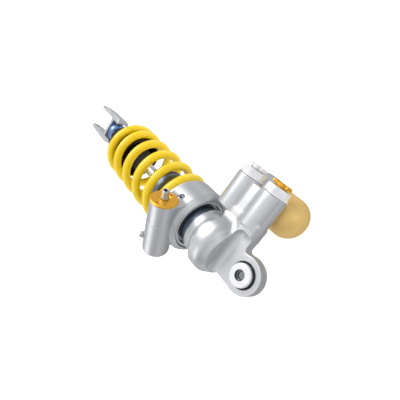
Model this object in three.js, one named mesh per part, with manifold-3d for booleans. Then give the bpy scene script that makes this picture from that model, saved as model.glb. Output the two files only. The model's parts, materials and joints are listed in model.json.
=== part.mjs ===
// Motorcycle rear shock absorber, millimetres, +Z up.
// The origin is the centre of the upper eye's bore. +X runs along the shock's axis to the
// lower clevis, +Z is the eye-bolt axis, and the valve block stands out towards -Y.

import * as THREE from 'three';
import { mergeVertices } from 'three/addons/utils/BufferGeometryUtils.js';
import Module from 'manifold-3d';

const wasm = await Module();
wasm.setup();

// ---------- driving dimensions ----------

const GAP = 0.3;                       // between pieces that touch or fit
const ROUND = 24;                      // facets round a large cylinder
const SMALL = 12;                      // facets round a small one

const EYE = { radius: 19.2, half: 6.6, bore: 13.3, bolt: 5.2 };
const BALL = { radius: 10.2, half: 7.3 };
const RACE = { bore: BALL.radius + GAP, half: 5.5 };
const SPACER = { radius: 11.7, face: 11.7, back: 7.6, nose: 7, cone: 1.4, edge: 0.8 };
const CIRCLIP = { inside: 11.4 };

const HEAD = { start: 28, nose: 22.6, cone: 38, rim: 31.3, shoulder: 43, end: 52.6, radius: 32.6 };
const HEAD_GROOVE = { slope: 4, edge: 1 };
const LUG = { side: 18.6, reach: 34, deep: 30, shoulder: 14.5, corner: 8, cornerX: 10, cornerY: -26 };
const NECK = { start: 60, end: 70, radius: 27.1, groove: 24.6, slope: 2, inward: 50 };
const TUBE = { start: 61.3, end: 150, radius: 24.5, inside: 22 };
const INNER = { start: 62, end: 145, radius: 19.3, inside: 18 };
const SEAL_HEAD = { start: 146, end: 158, radius: 24, nose: 20, pocket: 10.3, depth: 3 };
const WIPER = { radius: 10, lip: 1.5 };
const ROD = { radius: 7, start: 120, stud: 4, seat: 127, shoulder: 300, end: 331, thread: 6 };
const TOPOUT = { start: 134, end: 141, radius: 12 };
const PISTON = { start: 112.9, end: 124.6, radius: INNER.inside - GAP, bore: 4.3 };
const PISTON_GROOVE = { start: 2.5, end: 9.5, depth: 2 };
const SHIMS = { start: 124.9, step: 125.7, end: 126.6, small: 8, large: 11 };
const PISTON_NUT = { start: 110, radius: 8, recess: 113.2 };

const BLOCK = { rebound: 28, compression: 62, radius: 14.6, top: 76, bore: 10.3, floor: 44, web: 9 };
const BLOCK_FOOT = { rebound: 20, compression: 36, slope: 5, edge: 1.5 };
const OILWAY = { radius: 3.2, centre: 9, centreStart: 38 };
const VALVE = { start: 46, nose: 7, flange: 13.9, thick: 2, hex: 13.2, hexHeight: 8.7, bore: 3.4 };
const NEEDLE = { start: 45.6, tip: 1.6, radius: 3, end: 87 };
const KNOB = { radius: 10.5, height: 4.8, face: 1.5, hole: 1.6 };

const RESERVOIR = { y: -64.3, z: -38, radius: 22.5, inside: 19, start: 0, end: 57.5 };
const BOSS = { start: 50, end: 72, radius: 25.4, edge: 4, web: 2 };
const SEPARATOR = { start: 30, end: 42, groove: 32.5, land: 36.5, depth: 2, dish: 12, floor: 34 };
const GAS_SCREW = { along: 17, stem: 2.7, radius: 4.2, head: 2.2, socket: 1.5 };

const COLLAR = { start: 77, end: 109.8, radius: 38.6, lip: 34.5, slope: 5 };
const COLLAR_BORE = { mouth: 30.9, step: 84, inner: 90, radius: 24.8 };
const SEAT = { start: 95, flange: 108.9, end: 113.3, radius: 36.4, skirt: 30.6, inside: 26.6, play: 3.3 };
const SEAT_GROOVE = { start: 97.5, end: 100, depth: 2 };
const HOUSING_RING = { start: 78.5, end: 80.3, inside: 28.6 };
const ADJUSTER = { x: 94.7, offset: 42, turn: 28, radius: 15, bore: 9.7, foot: -37.4, top: 31, cap: 34 };
const FOOT_ROUND = 6;
const BRIDGE = { foot: -16, reach: 26, back: -12.5, front: 13 };
const PLUG = { bore: 4.6, depth: 7, edge: 0.8, hole: 1.3, holeDepth: 2, holeY: 10, holeZ: 3.4 };
const SCREW = { start: -20, thread: 3.6, flange: 7, stem: 4.3, cone: 4, height: 10, socket: 2.3, deep: 4 };
const PRELOAD_PISTON = { start: -12, end: -3 };
const SET_SCREW = { y: 20.2, bore: 3.7, radius: 3.4, depth: 2.5, proud: 0.4, socket: 1.6 };
const BLEED = { along: -18, angle: 35, bore: 2.3, stem: 2, head: 3.4, height: 5, washer: 4.2, socket: 1.5 };

const SPRING = { radius: 34.25, wire: 5.27, start: 118.9, end: 256, pitch: 28.76, phase: 130 };
const SPRING_TURNS = { near: 0.6, far: 0.75, closed: 11 };
const PERCH = { face: 261.6, radius: 33.5, thick: 5, slope: 9, hub: 17, neck: 14, end: 299.7 };
const CUP = { start: 230, floor: 256, radius: 28, inside: 26.5 };
const BUMPER = { start: 210, end: 255.6, radius: 18 };

const LOCK_NUT = { start: 300, end: 305.6, radius: 12.5 };
const LENGTH_NUT = { start: 306, radius: 14.8, shoulder: 316, hex: 11.5, end: 322.5 };
const CLEVIS = { start: 309, pocket: 326, floor: 332, pin: 371, end: 381, half: 10, bolt: 5.2 };
const FORK = { base: 21.5, waist: 20.9, tip: 18.2, gap: 15.2, pocket: 17, corner: 9, root: 2 };

// ---------- colours ----------

const LOOK = {
  casting: { color: 0xb9bcc0, roughness: 0.42, metalness: 0.85 },
  gold: { color: 0xd9a53c, roughness: 0.35, metalness: 0.9 },
  blue: { color: 0x3c5f9e, roughness: 0.3, metalness: 0.9 },
  tube: { color: 0x4a515c, roughness: 0.35, metalness: 0.8 },
  chrome: { color: 0xe4e6e8, roughness: 0.08, metalness: 1.0 },
  steel: { color: 0xc4c6c8, roughness: 0.3, metalness: 0.9 },
  dark: { color: 0x3a3c40, roughness: 0.45, metalness: 0.7 },
  yellow: { color: 0xf7c800, roughness: 0.25, metalness: 0.0 },
  rubber: { color: 0x151515, roughness: 0.8, metalness: 0.0 },
  plastic: { color: 0x1c1c1e, roughness: 0.5, metalness: 0.0 },
};

// ---------- making and placing shapes ----------

const materials = {};
for (const [name, look] of Object.entries(LOOK)) {
  materials[name] = new THREE.MeshStandardMaterial({ name, ...look });
}

const rad = (degrees) => THREE.MathUtils.degToRad(degrees);

// A closed three.js geometry becomes a solid that can be joined and cut.
function solid(geometry) {
  const bare = geometry.clone();
  bare.deleteAttribute('normal');
  bare.deleteAttribute('uv');
  const merged = mergeVertices(bare, 1e-4);
  const index = merged.index.array;
  const kept = [];
  for (let i = 0; i < index.length; i += 3) {
    const [a, b, c] = [index[i], index[i + 1], index[i + 2]];
    if (a !== b && b !== c && c !== a) {
      kept.push(a, b, c);
    }
  }
  return new wasm.Manifold(new wasm.Mesh({
    numProp: 3,
    vertProperties: new Float32Array(merged.attributes.position.array),
    triVerts: new Uint32Array(kept),
  }));
}

const join = (first, ...others) => others.reduce((sum, other) => sum.add(other), first);
const cut = (body, ...tools) => tools.reduce((rest, tool) => rest.subtract(tool), body);

function geometryOf(body) {
  const mesh = body.getMesh();
  const geometry = new THREE.BufferGeometry();
  geometry.setAttribute('position', new THREE.BufferAttribute(new Float32Array(mesh.vertProperties), 3));
  geometry.setIndex(new THREE.BufferAttribute(new Uint32Array(mesh.triVerts), 1));
  geometry.computeVertexNormals();
  return geometry;
}

function piece(name, body, look) {
  const mesh = new THREE.Mesh(geometryOf(body), materials[look]);
  mesh.name = name;
  return mesh;
}

// Turns a closed outline of [position, radius] points about the X axis.
function turned(outline, facets = ROUND, place = new THREE.Matrix4()) {
  let area = 0;
  for (let i = 0; i < outline.length; i += 1) {
    const [x0, r0] = outline[i];
    const [x1, r1] = outline[(i + 1) % outline.length];
    area += x0 * r1 - x1 * r0;
  }
  const ordered = area < 0 ? [...outline] : [...outline].reverse();
  const onAxis = ordered.findIndex(([, r], i) => r === 0 && ordered[(i + 1) % ordered.length][1] === 0);
  const points = onAxis < 0
    ? [...ordered, ordered[0]]
    : [...ordered.slice(onAxis + 1), ...ordered.slice(0, onAxis + 1)];
  const geometry = new THREE.LatheGeometry(points.map(([x, r]) => new THREE.Vector2(r, x)), facets);
  geometry.rotateZ(-Math.PI / 2);
  geometry.applyMatrix4(place);
  return solid(geometry);
}

const bar = (start, end, radius, facets, place) => turned(
  [[start, 0], [start, radius], [end, radius], [end, 0]], facets, place);

const sleeve = (start, end, inside, outside, facets, place) => turned(
  [[start, inside], [start, outside], [end, outside], [end, inside]], facets, place);

// A disc or ring whose outer edges are chamfered.
const collar = (start, end, inside, outside, edge, facets, place) => turned(
  [[start, inside], [start, outside - edge], [start + edge, outside],
    [end - edge, outside], [end, outside - edge], [end, inside]], facets, place);

// A bar with the flats of a hexagon; radius is measured to the corners.
const hexagon = (start, end, radius, place) => bar(start, end, radius, 6, place);

function box(low, high, place = new THREE.Matrix4()) {
  const size = high.map((value, i) => value - low[i]);
  const geometry = new THREE.BoxGeometry(...size);
  geometry.translate(...high.map((value, i) => (value + low[i]) / 2));
  geometry.applyMatrix4(place);
  return solid(geometry);
}

// A flat outline in the XY plane, thickened between two heights.
function plate(points, low, high) {
  const shape = new THREE.Shape(points.map(([x, y]) => new THREE.Vector2(x, y)));
  const geometry = new THREE.ExtrudeGeometry(shape, { depth: high - low, bevelEnabled: false });
  geometry.translate(0, 0, low);
  return solid(geometry);
}

// Points of an arc, used inside an outline.
function arc(x, y, radius, from, to, steps) {
  const points = [];
  for (let i = 0; i <= steps; i += 1) {
    const angle = rad(from + (to - from) * i / steps);
    points.push([x + radius * Math.cos(angle), y + radius * Math.sin(angle)]);
  }
  return points;
}

// Places a shape made along +X so that it runs from `origin` along `direction`.
function aimed(origin, direction) {
  const turn = new THREE.Quaternion().setFromUnitVectors(
    new THREE.Vector3(1, 0, 0), new THREE.Vector3(...direction).normalize());
  return new THREE.Matrix4().compose(new THREE.Vector3(...origin), turn, new THREE.Vector3(1, 1, 1));
}

const UP = aimed([0, 0, 0], [0, 0, 1]);
const valveAt = (x) => aimed([x, 0, 0], [0, -1, 0]);
const reservoirAxis = aimed([0, RESERVOIR.y, RESERVOIR.z], [1, 0, 0]);

// The preload adjuster lies beside the collar, turned about the shock's axis. Its own X runs up
// the cylinder to the cap, its Y points to the shock's axis, and its Z is the shock's X.
const tilt = rad(ADJUSTER.turn);
const adjusterOut = new THREE.Vector3(0, Math.sin(tilt), Math.cos(tilt));
const adjuster = new THREE.Matrix4().makeBasis(
  new THREE.Vector3(0, -Math.cos(tilt), Math.sin(tilt)),
  adjusterOut.clone().negate(),
  new THREE.Vector3(1, 0, 0),
).setPosition(adjusterOut.clone().multiplyScalar(ADJUSTER.offset).setX(ADJUSTER.x));
const onAdjuster = (...position) => adjuster.clone()
  .multiply(new THREE.Matrix4().makeTranslation(...position));

const shock = new THREE.Group();

// ---------- head casting ----------

function headBody() {
  const barrel = turned([
    [HEAD.start, 0],
    [HEAD.start, HEAD.nose], [HEAD.cone, HEAD.rim], [HEAD.shoulder, HEAD.radius],
    [HEAD.end - HEAD_GROOVE.edge, HEAD.radius], [HEAD.end, HEAD.radius - HEAD_GROOVE.edge],
    [HEAD.end + HEAD_GROOVE.slope, NECK.groove], [NECK.start, NECK.groove],
    [NECK.start + NECK.slope, NECK.radius], [NECK.end - HEAD_GROOVE.edge, NECK.radius],
    [NECK.end, NECK.radius - HEAD_GROOVE.edge], [NECK.end, 0],
  ]);
  const eye = bar(-EYE.half, EYE.half, EYE.radius, ROUND, UP);
  const lug = plate([
    [0, LUG.side], [LUG.reach, LUG.side], [LUG.reach, -LUG.deep], [LUG.shoulder, -LUG.deep],
    ...arc(LUG.cornerX, LUG.cornerY, LUG.corner, 40, 100, 3), [0, -EYE.radius],
  ], -EYE.half, EYE.half);
  const parts = [eye, lug];
  for (const valve of ['rebound', 'compression']) {
    const foot = BLOCK_FOOT[valve];
    parts.push(turned([
      [foot, 0], [foot, BLOCK.radius - BLOCK_FOOT.slope],
      [foot + BLOCK_FOOT.edge, BLOCK.radius - BLOCK_FOOT.edge], [foot + BLOCK_FOOT.slope, BLOCK.radius],
      [BLOCK.top - HEAD_GROOVE.edge, BLOCK.radius], [BLOCK.top, BLOCK.radius - HEAD_GROOVE.edge],
      [BLOCK.top, 0],
    ], ROUND, valveAt(BLOCK[valve])));
  }
  const webTop = -(BLOCK.top - BOSS.web);
  const web = box([BLOCK.rebound, webTop, -BLOCK.web], [BLOCK.compression, -LUG.side, BLOCK.web]);
  const reservoirWeb = box([BOSS.start + BOSS.web, webTop + 1, RESERVOIR.z],
    [BOSS.end - BOSS.web, -NECK.inward, 0]);
  const boss = collar(BOSS.start, BOSS.end, 0, BOSS.radius, BOSS.edge, ROUND, reservoirAxis);
  return join(barrel, ...parts, web, reservoirWeb, boss);
}

function headCuts() {
  const cuts = [
    bar(-EYE.half - 1, EYE.half + 1, EYE.bore, ROUND, UP),
    bar(TUBE.start - GAP, NECK.end + 1, TUBE.radius + GAP, ROUND),
    bar(OILWAY.centreStart, TUBE.start, OILWAY.centre, SMALL),
    bar(BOSS.start - 1, RESERVOIR.end + GAP, RESERVOIR.radius + GAP, ROUND, reservoirAxis),
    bar(RESERVOIR.end - 1, RESERVOIR.end + 6, RESERVOIR.inside, ROUND, reservoirAxis),
    bar(0, 45, OILWAY.radius, SMALL, aimed([45, 0, 0], [-0.2, -1, 0])),
    bar(0, 38, OILWAY.radius, SMALL, aimed([BLOCK.compression - 1, -BLOCK.floor - 8, 0], [0, -0.3, -1])),
    bar(0, BLOCK.compression - BLOCK.rebound, OILWAY.radius, SMALL,
      aimed([BLOCK.rebound, -BLOCK.floor - 4, 0], [1, 0, 0])),
  ];
  for (const valve of ['rebound', 'compression']) {
    cuts.push(bar(BLOCK.floor, BLOCK.top + 1, BLOCK.bore, ROUND, valveAt(BLOCK[valve])));
  }
  return cuts;
}

shock.add(piece('head_casting', cut(headBody(), ...headCuts()), 'casting'));

// ---------- upper eye: spherical bearing and its spacers ----------

const raceAngle = THREE.MathUtils.radToDeg(Math.asin(RACE.half / RACE.bore));
shock.add(piece('bearing_race', turned([
  [-RACE.half, EYE.bore - GAP], [RACE.half, EYE.bore - GAP],
  ...arc(0, 0, RACE.bore, 90 - raceAngle, 90 + raceAngle, 6),
], ROUND, UP), 'steel'));

const ballAngle = THREE.MathUtils.radToDeg(Math.asin(BALL.half / BALL.radius));
shock.add(piece('bearing_ball', turned([
  [-BALL.half, EYE.bolt],
  ...arc(0, 0, BALL.radius, 90 + ballAngle, 90 - ballAngle, 7),
  [BALL.half, EYE.bolt],
], ROUND, UP), 'chrome'));

for (const [side, sign] of [['front', 1], ['rear', -1]]) {
  const outward = aimed([0, 0, 0], [0, 0, sign]);
  shock.add(piece(`spacer_${side}`, turned([
    [SPACER.back, EYE.bolt], [SPACER.back, SPACER.nose], [SPACER.back + SPACER.cone, SPACER.radius],
    [SPACER.face - SPACER.edge, SPACER.radius], [SPACER.face, SPACER.radius - SPACER.edge],
    [SPACER.face, EYE.bolt],
  ], ROUND, outward), 'steel'));
  shock.add(piece(`circlip_${side}`, sleeve(
    RACE.half + GAP, EYE.half - GAP, CIRCLIP.inside, EYE.bore - GAP, ROUND, outward), 'dark'));
}

// ---------- damper tubes, seal head and rod ----------

shock.add(piece('damper_tube', turned([
  [TUBE.start, TUBE.inside], [TUBE.start, TUBE.radius], [TUBE.end - 1, TUBE.radius],
  [TUBE.end, TUBE.radius - 1], [TUBE.end, TUBE.inside],
]), 'tube'));
const wiperSeat = SEAL_HEAD.end - SEAL_HEAD.depth;
shock.add(piece('inner_tube', sleeve(INNER.start, INNER.end, INNER.inside, INNER.radius), 'steel'));
shock.add(piece('seal_head', turned([
  [SEAL_HEAD.start, ROD.radius + GAP], [SEAL_HEAD.start, TUBE.inside - GAP],
  [TUBE.end + GAP, TUBE.inside - GAP], [TUBE.end + GAP, SEAL_HEAD.radius],
  [SEAL_HEAD.end - SEAL_HEAD.depth, SEAL_HEAD.radius], [SEAL_HEAD.end, SEAL_HEAD.nose],
  [SEAL_HEAD.end, SEAL_HEAD.pocket], [wiperSeat, SEAL_HEAD.pocket], [wiperSeat, ROD.radius + GAP],
]), 'dark'));
shock.add(piece('rod_wiper', turned([
  [wiperSeat + GAP, ROD.radius + GAP], [wiperSeat + GAP, WIPER.radius],
  [SEAL_HEAD.end + WIPER.lip / 3, WIPER.radius], [SEAL_HEAD.end + WIPER.lip, ROD.radius + GAP],
], SMALL), 'rubber'));

shock.add(piece('piston_rod', join(
  bar(ROD.start, ROD.seat, ROD.stud, SMALL),
  bar(ROD.seat - 0.1, ROD.shoulder, ROD.radius, SMALL + 4),
  bar(ROD.shoulder - 0.1, ROD.end, ROD.thread, SMALL),
), 'chrome'));
shock.add(piece('topout_bush', collar(
  TOPOUT.start, TOPOUT.end, ROD.radius + GAP, TOPOUT.radius, 1.5, SMALL), 'plastic'));
shock.add(piece('rod_shim_stack', turned([
  [SHIMS.start, PISTON.bore], [SHIMS.start, SHIMS.small], [SHIMS.step, SHIMS.small],
  [SHIMS.step, SHIMS.large], [SHIMS.end, SHIMS.large], [SHIMS.end, PISTON.bore],
], SMALL), 'steel'));

const grooveStart = PISTON.start + PISTON_GROOVE.start;
const grooveEnd = PISTON.start + PISTON_GROOVE.end;
const grooveFloor = PISTON.radius - PISTON_GROOVE.depth;
const nutSeat = PISTON.start + 7;
shock.add(piece('piston', turned([
  [nutSeat, PISTON.bore], [nutSeat, 9], [nutSeat - 3, 10.5], [PISTON.start, 12.5],
  [PISTON.start, PISTON.radius], [grooveStart, PISTON.radius],
  [grooveStart, grooveFloor], [grooveEnd, grooveFloor],
  [grooveEnd, PISTON.radius], [PISTON.end, PISTON.radius], [PISTON.end, PISTON.bore],
]), 'dark'));
shock.add(piece('piston_band', sleeve(grooveStart + GAP, grooveEnd - GAP,
  grooveFloor + GAP, PISTON.radius), 'plastic'));
shock.add(piece('piston_nut', cut(
  hexagon(PISTON_NUT.start, nutSeat - GAP, PISTON_NUT.radius),
  bar(PISTON_NUT.recess, nutSeat + 1, PISTON.bore, SMALL),
), 'steel'));

// ---------- spring, perch and bump stop ----------

class CoilLine extends THREE.Curve {
  getPoint(t) {
    const near = SPRING_TURNS.near;
    const far = SPRING_TURNS.far;
    const rise = SPRING.end - SPRING.start - SPRING_TURNS.closed * far;
    const active = rise / SPRING.pitch;
    const turn = t * (near + active + far) - near;
    let along = SPRING.start;
    if (turn > active) {
      along = SPRING.start + rise + SPRING_TURNS.closed * (turn - active);
    } else if (turn > 0) {
      along = SPRING.start + SPRING.pitch * turn;
    }
    const angle = rad(SPRING.phase) + 2 * Math.PI * turn;
    return new THREE.Vector3(along, SPRING.radius * Math.cos(angle), SPRING.radius * Math.sin(angle));
  }
}

function coilSpring() {
  const sides = 8;
  const section = new THREE.Shape(arc(0, 0, SPRING.wire, 0, 360 - 360 / sides, sides - 1)
    .map(([x, y]) => new THREE.Vector2(x, y)));
  return solid(new THREE.ExtrudeGeometry(section, {
    steps: 104, bevelEnabled: false, extrudePath: new CoilLine(),
  }));
}

shock.add(piece('coil_spring', coilSpring(), 'yellow'));
shock.add(piece('spring_perch', turned([
  [PERCH.face, ROD.radius + GAP], [PERCH.face, PERCH.radius - 1], [PERCH.face + 1, PERCH.radius],
  [PERCH.face + PERCH.thick, PERCH.radius - 0.5], [PERCH.face + PERCH.thick + PERCH.slope, PERCH.hub + 5],
  [PERCH.end - PERCH.neck, PERCH.hub], [PERCH.end - 2, PERCH.hub - 1], [PERCH.end, PERCH.hub - 3],
  [PERCH.end, ROD.radius + GAP],
]), 'dark'));
shock.add(piece('bump_cup', turned([
  [CUP.start, CUP.inside], [CUP.start, CUP.radius], [PERCH.face - GAP, CUP.radius],
  [PERCH.face - GAP, ROD.radius + GAP], [CUP.floor, ROD.radius + GAP], [CUP.floor, CUP.inside],
]), 'plastic'));
shock.add(piece('bump_rubber', turned([
  [BUMPER.start, ROD.radius + GAP], [BUMPER.start, 11], [BUMPER.start + 5, 14], [BUMPER.start + 9, 13],
  [BUMPER.start + 15, 16.5], [BUMPER.start + 20, 15.5], [BUMPER.start + 26, BUMPER.radius],
  [BUMPER.end, BUMPER.radius], [BUMPER.end, ROD.radius + GAP],
], SMALL + 4), 'rubber'));

// ---------- lower mount ----------

shock.add(piece('lock_nut', cut(
  hexagon(LOCK_NUT.start, LOCK_NUT.end, LOCK_NUT.radius),
  bar(LOCK_NUT.start - 1, LOCK_NUT.end + 1, ROD.thread + GAP, SMALL),
), 'steel'));
shock.add(piece('length_nut', cut(
  join(
    turned([
      [LENGTH_NUT.start, 0], [LENGTH_NUT.start, LENGTH_NUT.radius - 2.6],
      [LENGTH_NUT.start + 2, LENGTH_NUT.radius - 0.6], [LENGTH_NUT.start + 7, LENGTH_NUT.radius],
      [LENGTH_NUT.shoulder - 1.5, LENGTH_NUT.radius - 1], [LENGTH_NUT.shoulder, LENGTH_NUT.radius - 3],
      [LENGTH_NUT.shoulder, 0],
    ]),
    hexagon(LENGTH_NUT.shoulder - 0.1, LENGTH_NUT.end, LENGTH_NUT.hex),
  ),
  bar(LENGTH_NUT.start - 1, LENGTH_NUT.end + 1, ROD.thread + GAP, SMALL),
), 'blue'));

// The fork's outline seen along Z, cut to its side view seen along Y.
function clevis() {
  const side = [
    ...arc(CLEVIS.start + FORK.corner, FORK.base - FORK.corner, FORK.corner, 180, 90, 4),
    [CLEVIS.floor, FORK.base], [CLEVIS.pin - CLEVIS.half, FORK.waist], [CLEVIS.end, FORK.tip],
    [CLEVIS.end, FORK.gap], [CLEVIS.floor + FORK.root, FORK.gap], [CLEVIS.floor, FORK.gap - FORK.root],
  ];
  const outline = [...side, ...side.map(([x, y]) => [x, -y]).reverse()];
  const ear = CLEVIS.end - CLEVIS.pin;
  const profile = new THREE.Shape([
    [CLEVIS.start - 1, CLEVIS.half], [CLEVIS.start - 1, -CLEVIS.half],
    ...arc(CLEVIS.pin, 0, ear, -90, 90, 10),
  ].map(([x, z]) => new THREE.Vector2(x, z)));
  const sideView = new THREE.ExtrudeGeometry(profile, { depth: 2 * FORK.base + 2, bevelEnabled: false });
  sideView.rotateX(Math.PI / 2);
  sideView.translate(0, FORK.base + 1, 0);
  return cut(
    plate(outline, -CLEVIS.half, CLEVIS.half).intersect(solid(sideView)),
    bar(CLEVIS.start - 1, CLEVIS.pocket, FORK.pocket),
    bar(CLEVIS.pocket - 1, CLEVIS.floor + 1, ROD.thread + GAP, SMALL),
    bar(-FORK.base - 1, FORK.base + 1, CLEVIS.bolt, SMALL, aimed([CLEVIS.pin, 0, 0], [0, 1, 0])),
  );
}

shock.add(piece('clevis', clevis(), 'casting'));

// ---------- spring preload adjuster ----------

const bleedTurn = new THREE.Matrix4().makeRotationX(rad(-BLEED.angle))
  .multiply(aimed([0, 0, 0], [0, -1, 0]));
const bleed = onAdjuster(BLEED.along, 0, 0).multiply(bleedTurn);
const setScrew = onAdjuster(0, SET_SCREW.y, 0);

function preloadHousing() {
  const ring = turned([
    [COLLAR.start, 0], [COLLAR.start, COLLAR.lip], [COLLAR.start + COLLAR.slope, COLLAR.radius],
    [COLLAR.end, COLLAR.radius], [COLLAR.end, 0],
  ]);
  const cylinder = turned([
    [ADJUSTER.foot, 0],
    ...arc(ADJUSTER.foot + FOOT_ROUND, ADJUSTER.radius - FOOT_ROUND, FOOT_ROUND, 180, 90, 3),
    [ADJUSTER.top, ADJUSTER.radius], [ADJUSTER.top, 0],
  ], ROUND, adjuster);
  const bridge = box([BRIDGE.foot, 0, BRIDGE.back], [ADJUSTER.top, BRIDGE.reach, BRIDGE.front], adjuster);
  const seatFloor = SEAT.flange - SEAT.play;
  const core = turned([
    [COLLAR.start - 1, 0], [COLLAR.start - 1, COLLAR_BORE.mouth], [COLLAR_BORE.step, COLLAR_BORE.mouth],
    [COLLAR_BORE.step, COLLAR_BORE.radius], [COLLAR_BORE.inner, COLLAR_BORE.radius],
    [COLLAR_BORE.inner, SEAT.skirt + GAP],
    [seatFloor, SEAT.skirt + GAP], [seatFloor, SEAT.radius + GAP],
    [COLLAR.end + 10, SEAT.radius + GAP], [COLLAR.end + 10, 0],
  ]);
  const hub = sleeve(COLLAR_BORE.inner - 0.1, SEAT.flange - 4, COLLAR_BORE.radius, SEAT.inside - GAP);
  return cut(
    join(cut(join(ring, cylinder, bridge), core), hub),
    bar(ADJUSTER.foot + FOOT_ROUND, ADJUSTER.top + 1, ADJUSTER.bore, SMALL, adjuster),
    bar(ADJUSTER.radius - 8, ADJUSTER.radius + 3, BLEED.bore, SMALL, bleed),
    bar(ADJUSTER.top - SET_SCREW.depth - 0.5, ADJUSTER.top + 2, SET_SCREW.bore, SMALL, setScrew),
  );
}

shock.add(piece('preload_housing', preloadHousing(), 'casting'));
shock.add(piece('housing_ring', sleeve(
  HOUSING_RING.start, HOUSING_RING.end, HOUSING_RING.inside, COLLAR_BORE.mouth - GAP), 'steel'));
const sealFloor = SEAT.skirt - SEAT_GROOVE.depth;
shock.add(piece('spring_seat', turned([
  [SEAT.start, SEAT.inside], [SEAT.start, SEAT.skirt], [SEAT_GROOVE.start, SEAT.skirt],
  [SEAT_GROOVE.start, sealFloor], [SEAT_GROOVE.end, sealFloor], [SEAT_GROOVE.end, SEAT.skirt],
  [SEAT.flange, SEAT.skirt], [SEAT.flange, SEAT.radius], [SEAT.end - 0.8, SEAT.radius],
  [SEAT.end, SEAT.radius - 0.8], [SEAT.end, SEAT.inside],
]), 'casting'));
shock.add(piece('seat_seal', sleeve(
  SEAT_GROOVE.start + GAP, SEAT_GROOVE.end - GAP, sealFloor + GAP, SEAT.skirt), 'rubber'));

const plugFoot = ADJUSTER.top - PLUG.depth;
shock.add(piece('preload_cap', cut(
  join(
    collar(ADJUSTER.top + GAP, ADJUSTER.cap, 0, ADJUSTER.radius, PLUG.edge, ROUND, adjuster),
    bar(plugFoot, ADJUSTER.top + GAP + 0.1, ADJUSTER.bore - GAP, SMALL, adjuster),
  ),
  bar(plugFoot - 1, ADJUSTER.cap + 1, PLUG.bore, SMALL, adjuster),
  ...[-1, 1].map((side) => bar(ADJUSTER.cap - PLUG.holeDepth, ADJUSTER.cap + 1, PLUG.hole, 8,
    onAdjuster(0, PLUG.holeY * side, PLUG.holeZ * side))),
), 'gold'));
shock.add(piece('preload_screw', cut(
  join(
    bar(SCREW.start, plugFoot - 2, SCREW.thread, SMALL, adjuster),
    collar(plugFoot - 2.1, plugFoot - GAP, 0, SCREW.flange, 0.6, SMALL, adjuster),
    bar(plugFoot - GAP - 0.1, ADJUSTER.cap + SCREW.cone, SCREW.stem, SMALL, adjuster),
    hexagon(ADJUSTER.cap + SCREW.cone - 0.1, ADJUSTER.cap + SCREW.height, SCREW.stem, adjuster),
  ),
  hexagon(ADJUSTER.cap + SCREW.height - SCREW.deep, ADJUSTER.cap + SCREW.height + 1,
    SCREW.socket, adjuster),
), 'steel'));
shock.add(piece('preload_piston', cut(
  collar(PRELOAD_PISTON.start, PRELOAD_PISTON.end, 0, ADJUSTER.bore - GAP, PLUG.edge, SMALL, adjuster),
  bar(PRELOAD_PISTON.start - 1, PRELOAD_PISTON.end + 1, SCREW.thread + GAP, SMALL, adjuster),
), 'steel'));
shock.add(piece('preload_set_screw', cut(
  collar(ADJUSTER.top - SET_SCREW.depth, ADJUSTER.top + SET_SCREW.proud, 0, SET_SCREW.radius, 0.5,
    SMALL, setScrew),
  hexagon(ADJUSTER.top - 1, ADJUSTER.top + 1, SET_SCREW.socket, setScrew),
), 'steel'));
const washerTop = ADJUSTER.radius + GAP + 1;
shock.add(piece('bleed_washer', sleeve(
  ADJUSTER.radius + GAP, washerTop, BLEED.stem + GAP, BLEED.washer, SMALL, bleed), 'steel'));
shock.add(piece('bleed_screw', cut(
  join(
    bar(ADJUSTER.radius - 6, washerTop + 1, BLEED.stem, SMALL, bleed),
    collar(washerTop + GAP, ADJUSTER.radius + BLEED.height, 0, BLEED.head, 1.1, SMALL, bleed),
  ),
  hexagon(ADJUSTER.radius + BLEED.height - 1.8, ADJUSTER.radius + BLEED.height + 1, BLEED.socket, bleed),
), 'steel'));

// ---------- valves, one for compression and one for rebound ----------

for (const [valve, look] of [['compression', 'steel'], ['rebound', 'gold']]) {
  const group = new THREE.Group();
  group.position.set(BLOCK[valve], 0, 0);
  const outward = valveAt(0);
  const hexStart = BLOCK.top + GAP;
  const hexEnd = hexStart + VALVE.hexHeight;
  const knobStart = hexEnd + GAP;
  const knobEnd = knobStart + KNOB.height;
  group.add(piece(`${valve}_cartridge`, turned([
    [VALVE.start, VALVE.bore], [VALVE.start, VALVE.nose], [VALVE.start + 3, BLOCK.bore - GAP],
    [BLOCK.top, BLOCK.bore - GAP], [BLOCK.top, VALVE.bore],
  ], SMALL + 4, outward), 'steel'));
  group.add(piece(`${valve}_cap`, cut(
    join(
      collar(hexStart, hexStart + VALVE.thick, 0, VALVE.flange, 0.5, SMALL + 4, outward),
      hexagon(hexStart + VALVE.thick - 0.1, hexEnd, VALVE.hex, outward),
    ),
    bar(hexStart - 1, hexEnd + 1, VALVE.bore, SMALL, outward),
  ), 'steel'));
  group.add(piece(`${valve}_needle`, turned([
    [NEEDLE.start, 0], [NEEDLE.start + 2.4, NEEDLE.tip], [NEEDLE.start + 3, NEEDLE.radius],
    [NEEDLE.end, NEEDLE.radius], [NEEDLE.end, 0],
  ], SMALL, outward), 'steel'));
  group.add(piece(`${valve}_knob`, cut(
    collar(knobStart, knobEnd, 0, KNOB.radius, 0.7, SMALL + 4, outward),
    bar(knobStart - 1, knobEnd - KNOB.face, VALVE.bore, SMALL, outward),
    bar(knobStart, knobEnd + 1, KNOB.hole, SMALL, outward),
  ), look));
  shock.add(group);
}

// ---------- reservoir ----------

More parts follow.
